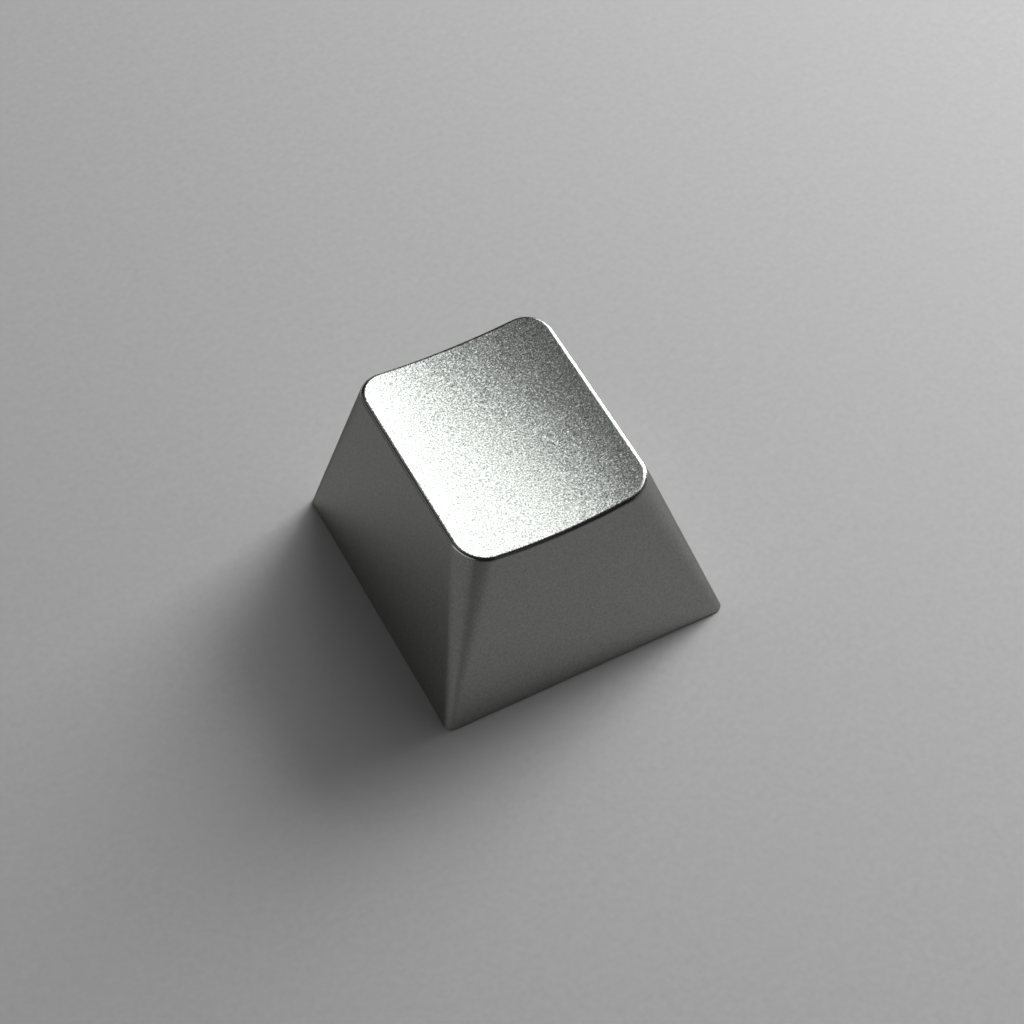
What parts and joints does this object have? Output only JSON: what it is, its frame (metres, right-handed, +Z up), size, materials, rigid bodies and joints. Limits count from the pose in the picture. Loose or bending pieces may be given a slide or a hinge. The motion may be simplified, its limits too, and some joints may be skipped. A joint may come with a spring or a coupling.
{
  "type": "metal keycap",
  "caption": "Metal keycap with tapered walls, a shallow finger dish with a polished edge, a hollow underside and a round stem with a cross-shaped socket.",
  "frame": {"origin": "middle of the bottom rim, at the level that the cap stands on", "axes": "+X to the typist's right, +Y away from the typist, +Z up through the dished top"},
  "size_m": [0.0182, 0.0181, 0.01],
  "materials": {
    "blasted_aluminium": "bead blasted, with a polished edge round the top"
  },
  "bodies": {
    "root": {"keycap": "blasted_aluminium"}
  },
  "joints": []
}
